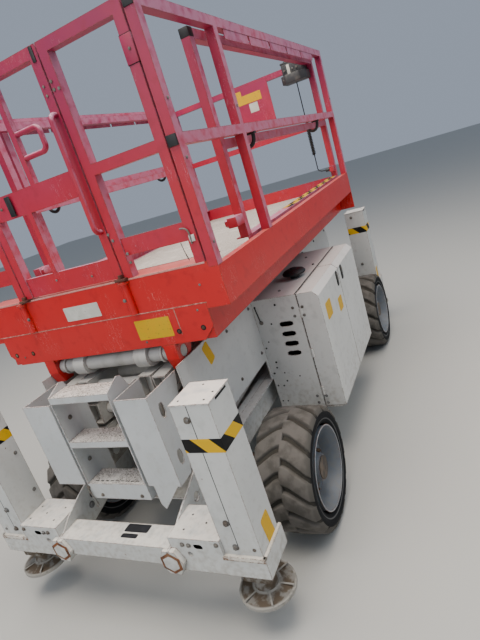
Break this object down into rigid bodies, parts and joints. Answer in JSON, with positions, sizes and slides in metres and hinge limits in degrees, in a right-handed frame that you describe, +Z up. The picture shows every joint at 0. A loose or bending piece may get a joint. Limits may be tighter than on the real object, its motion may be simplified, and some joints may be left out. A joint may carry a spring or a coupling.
{
  "type": "rough-terrain scissor lift",
  "caption": "Rough-terrain scissor lift with outrigger legs, red guard-railed platform with a roll-out deck, a rear swing gate and a short ladder",
  "frame": {"origin": "middle of the bounding box on the ground", "axes": "+X to the steered end, +Y left, +Z up"},
  "size_m": [3.743, 1.76, 2.583],
  "materials": {
    "chassis_paint": "worn satin paint",
    "cover_paint": "worn satin paint",
    "arm_paint": "satin paint",
    "platform_red": "scratched gloss paint",
    "rail_red": "faded matte paint",
    "deck_steel": "worn tread plate",
    "dark_metal": "dusty bare and rusty metal",
    "chrome": "polished",
    "tyre": "dusty rubber",
    "rim_paint": "satin paint",
    "grey_plastic": "moulded",
    "cord_black": "matte"
  },
  "bodies": {
    "chassis": {"frame_rails": "chassis_paint", "belly_plate": "chassis_paint", "side_walls": "chassis_paint", "frame_forks": "chassis_paint", "arm_anchors": "chassis_paint", "outrigger_beam_rear": "chassis_paint", "outrigger_beam_front": "chassis_paint", "columns_rear": "chassis_paint", "columns_front": "chassis_paint", "ladder": "cover_paint", "side_box_right": "chassis_paint", "side_box_left": "chassis_paint", "power_blocks": "dark_metal", "axle_rear": "dark_metal", "axle_front": "dark_metal"},
    "door_right_rear": {"door_right_rear": "chassis_paint"},
    "door_right_front": {"door_right_front": "chassis_paint"},
    "door_left_rear": {"door_left_rear": "chassis_paint"},
    "door_left_front": {"door_left_front": "chassis_paint"},
    "knuckle_right": {"knuckle_right": "dark_metal"},
    "knuckle_left": {"knuckle_left": "dark_metal"},
    "wheel_rear_right": {"tyre_rear_right": "tyre", "rim_rear_right": "rim_paint"},
    "wheel_rear_left": {"tyre_rear_left": "tyre", "rim_rear_left": "rim_paint"},
    "wheel_front_right": {"tyre_front_right": "tyre", "rim_front_right": "rim_paint"},
    "wheel_front_left": {"tyre_front_left": "tyre", "rim_front_left": "rim_paint"},
    "leg_rear_left": {"leg_rear_left": "dark_metal"},
    "leg_rear_right": {"leg_rear_right": "dark_metal"},
    "leg_front_left": {"leg_front_left": "dark_metal"},
    "leg_front_right": {"leg_front_right": "dark_metal"},
    "arms_outer_1": {"arms_outer_1": "arm_paint"},
    "arms_inner_1": {"arms_inner_1": "arm_paint"},
    "arms_outer_2": {"arms_outer_2": "arm_paint"},
    "arms_inner_2": {"arms_inner_2": "arm_paint"},
    "arms_outer_3": {"arms_outer_3": "arm_paint"},
    "arms_inner_3": {"arms_inner_3": "arm_paint"},
    "arms_outer_4": {"arms_outer_4": "arm_paint"},
    "arms_inner_4": {"arms_inner_4": "arm_paint"},
    "lift_barrel": {"lift_barrel": "arm_paint"},
    "lift_rod": {"lift_rod": "chrome"},
    "platform": {"platform_frame": "platform_red", "platform_brackets": "platform_red", "platform_skirts": "platform_red", "platform_deck": "deck_steel", "rail_left": "rail_red", "rail_right": "rail_red", "rails_rear": "rail_red"},
    "gate": {"gate": "rail_red"},
    "extension": {"extension_deck": "deck_steel", "extension_sides": "rail_red", "extension_front": "rail_red", "console": "grey_plastic", "cord_straight": "cord_black", "cord_coil": "cord_black", "cord_tail": "cord_black", "cord_plug": "grey_plastic"}
  },
  "joints": [
    {"name": "lift", "type": "hinge", "parent": "chassis", "child": "arms_outer_1", "pos_m": [-1.36, 0, 0.64], "axis": [0, -1, 0], "range_deg": [0, 63.72]},
    {"name": "pivot_inner_1", "type": "hinge", "parent": "arms_outer_1", "child": "arms_inner_1", "pos_m": [-0.16197, 0, 0.70875], "axis": [0, 1, 0], "range_deg": [0, 127.64]},
    {"name": "pivot_inner_2", "type": "hinge", "parent": "arms_outer_1", "child": "arms_inner_2", "pos_m": [1.03606, 0, 0.7775], "axis": [0, 1, 0], "range_deg": [0, 127.64]},
    {"name": "pivot_outer_2", "type": "hinge", "parent": "arms_inner_2", "child": "arms_outer_2", "pos_m": [-0.16197, 0, 0.84625], "axis": [0, -1, 0], "range_deg": [0, 127.64]},
    {"name": "pivot_inner_3", "type": "hinge", "parent": "arms_outer_2", "child": "arms_inner_3", "pos_m": [1.03606, 0, 0.915], "axis": [0, 1, 0], "range_deg": [0, 127.64]},
    {"name": "pivot_outer_3", "type": "hinge", "parent": "arms_inner_3", "child": "arms_outer_3", "pos_m": [-0.16197, 0, 0.98375], "axis": [0, -1, 0], "range_deg": [0, 127.64]},
    {"name": "pivot_inner_4", "type": "hinge", "parent": "arms_outer_3", "child": "arms_inner_4", "pos_m": [1.03606, 0, 1.0525], "axis": [0, 1, 0], "range_deg": [0, 127.64]},
    {"name": "pivot_outer_4", "type": "hinge", "parent": "arms_inner_4", "child": "arms_outer_4", "pos_m": [-0.16197, 0, 1.12125], "axis": [0, -1, 0], "range_deg": [0, 127.64]},
    {"name": "platform_pin", "type": "hinge", "parent": "arms_inner_4", "child": "platform", "pos_m": [-1.36, 0, 1.19], "axis": [0, -1, 0], "range_deg": [0, 63.92]},
    {"name": "cylinder_pin", "type": "hinge", "parent": "arms_inner_1", "child": "lift_barrel", "pos_m": [-1.00059, 0, 0.75687], "axis": [0, -1, 0], "range_deg": [0, 124.04]},
    {"name": "cylinder_stroke", "type": "slide", "parent": "lift_barrel", "child": "lift_rod", "axis": [0.9915, 0, 0.13], "range_m": [0, 0.1411]},
    {"name": "door_right_rear", "type": "hinge", "parent": "chassis", "child": "door_right_rear", "pos_m": [-0.564, -0.747, 0.74], "axis": [0, 0, -1], "range_deg": [0, 75]},
    {"name": "door_right_front", "type": "hinge", "parent": "chassis", "child": "door_right_front", "pos_m": [0.496, -0.747, 0.74], "axis": [0, 0, 1], "range_deg": [0, 75]},
    {"name": "door_left_rear", "type": "hinge", "parent": "chassis", "child": "door_left_rear", "pos_m": [-0.564, 0.747, 0.74], "axis": [0, 0, 1], "range_deg": [0, 75]},
    {"name": "door_left_front", "type": "hinge", "parent": "chassis", "child": "door_left_front", "pos_m": [0.496, 0.747, 0.74], "axis": [0, 0, -1], "range_deg": [0, 75]},
    {"name": "gate_hinge", "type": "hinge", "parent": "platform", "child": "gate", "pos_m": [-1.37, 0.351, 2.08], "axis": [0, 0, 1], "range_deg": [0, 90]},
    {"name": "deck_roll_out", "type": "slide", "parent": "platform", "child": "extension", "axis": [1, 0, 0], "range_m": [0, 1.2]},
    {"name": "steer_right", "type": "hinge", "parent": "chassis", "child": "knuckle_right", "pos_m": [1.123, -0.515, 0.33], "axis": [0, 0, 1], "range_deg": [-30, 30]},
    {"name": "steer_left", "type": "hinge", "parent": "chassis", "child": "knuckle_left", "pos_m": [1.123, 0.515, 0.33], "axis": [0, 0, 1], "range_deg": [-30, 30]},
    {"name": "wheel_rear_right", "type": "hinge", "parent": "chassis", "child": "wheel_rear_right", "pos_m": [-1.123, -0.73, 0.33], "axis": [0, 1, 0], "continuous": true},
    {"name": "wheel_rear_left", "type": "hinge", "parent": "chassis", "child": "wheel_rear_left", "pos_m": [-1.123, 0.73, 0.33], "axis": [0, 1, 0], "continuous": true},
    {"name": "wheel_front_right", "type": "hinge", "parent": "knuckle_right", "child": "wheel_front_right", "pos_m": [1.123, -0.73, 0.33], "axis": [0, 1, 0], "continuous": true},
    {"name": "wheel_front_left", "type": "hinge", "parent": "knuckle_left", "child": "wheel_front_left", "pos_m": [1.123, 0.73, 0.33], "axis": [0, 1, 0], "continuous": true},
    {"name": "leg_rear_left", "type": "slide", "parent": "chassis", "child": "leg_rear_left", "axis": [0, 0, -1], "range_m": [0, 0.4]},
    {"name": "leg_rear_right", "type": "slide", "parent": "chassis", "child": "leg_rear_right", "axis": [0, 0, -1], "range_m": [0, 0.4]},
    {"name": "leg_front_left", "type": "slide", "parent": "chassis", "child": "leg_front_left", "axis": [0, 0, -1], "range_m": [0, 0.4]},
    {"name": "leg_front_right", "type": "slide", "parent": "chassis", "child": "leg_front_right", "axis": [0, 0, -1], "range_m": [0, 0.4]}
  ],
  "couplings": [
    {"joint": "pivot_inner_1", "follows": "lift", "ratio": 2},
    {"joint": "pivot_inner_2", "follows": "lift", "ratio": 2},
    {"joint": "pivot_outer_2", "follows": "lift", "ratio": 2},
    {"joint": "pivot_inner_3", "follows": "lift", "ratio": 2},
    {"joint": "pivot_outer_3", "follows": "lift", "ratio": 2},
    {"joint": "pivot_inner_4", "follows": "lift", "ratio": 2},
    {"joint": "pivot_outer_4", "follows": "lift", "ratio": 2},
    {"joint": "platform_pin", "follows": "lift", "ratio": 1},
    {"joint": "cylinder_pin", "follows": "lift", "ratio": 1.9389},
    {"joint": "cylinder_stroke", "follows": "lift", "m_per_rad": 0.12512},
    {"joint": "steer_left", "follows": "steer_right", "ratio": 1}
  ]
}
